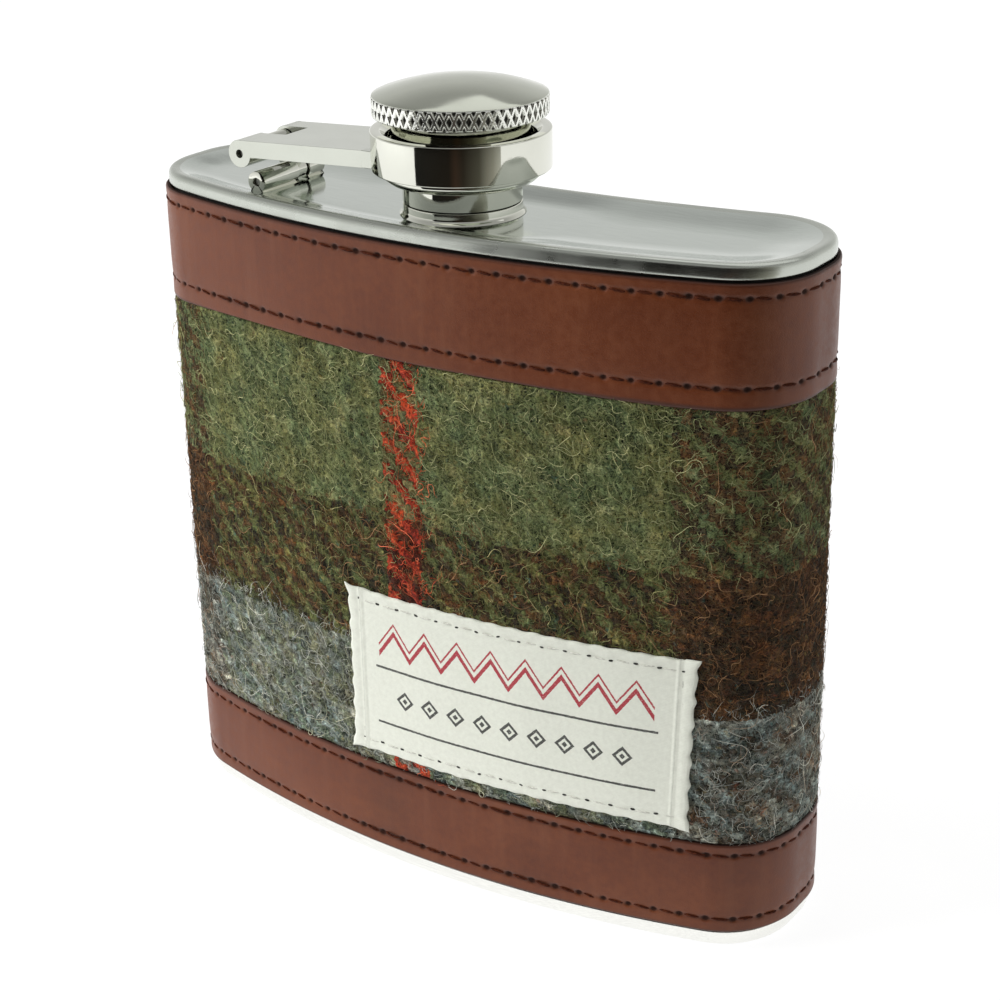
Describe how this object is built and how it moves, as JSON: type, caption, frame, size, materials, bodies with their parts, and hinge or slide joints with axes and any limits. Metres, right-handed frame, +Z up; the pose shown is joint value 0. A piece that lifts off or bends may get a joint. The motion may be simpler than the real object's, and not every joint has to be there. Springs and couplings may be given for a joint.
{
  "type": "hip flask",
  "caption": "Curved pocket flask with a metal body in a leather and tweed sleeve, and a screw cap held captive by a ring on a double-jointed hinge.",
  "frame": {"origin": "on the ground plane under the centre of the bounding box", "axes": "+Z up through the cap, wide convex face towards -Y, hollow back towards +Y, hinge of the captive cap towards -X"},
  "size_m": [0.0962, 0.03, 0.1069],
  "materials": {
    "satin_steel": "satin",
    "polished_steel": "mirror polished",
    "seal_rubber": "matt",
    "black_lining": "matt",
    "tweed": "rough woven wool in a large check",
    "brown_leather": "smooth, soft sheen, stitched",
    "label_weave": "fine damask weave"
  },
  "bodies": {
    "flask": {"body_shell": "satin_steel", "top_plate": "satin_steel", "bottom_plate": "satin_steel", "spout": "satin_steel", "neck_collar": "polished_steel", "hinge_barrel_front": "polished_steel", "hinge_barrel_rear": "polished_steel", "lower_pin": "satin_steel", "sleeve_lining": "black_lining", "tweed_panel": "tweed", "leather_band_top": "brown_leather", "leather_band_bottom": "brown_leather", "label": "label_weave"},
    "link": {"hinge_link": "polished_steel"},
    "arm": {"captive_arm": "polished_steel", "captive_ring": "polished_steel", "upper_pin": "satin_steel"},
    "cap": {"cap_knob": "polished_steel", "cap_cup": "polished_steel", "cap_retainer": "polished_steel", "cap_seal": "seal_rubber"}
  },
  "joints": [
    {"name": "link_swing", "type": "hinge", "parent": "flask", "child": "link", "pos_m": [-0.0281, -0.00116, 0.0914], "axis": [0, -1, 0], "range_deg": [0, 32]},
    {"name": "arm_swing", "type": "hinge", "parent": "link", "child": "arm", "pos_m": [-0.0306, -0.00116, 0.09485], "axis": [0, -1, 0], "range_deg": [0, 132]},
    {"name": "cap_spin", "type": "hinge", "parent": "arm", "child": "cap", "pos_m": [0, -0.00116, 0.1], "axis": [0, 0, 1], "continuous": true}
  ]
}
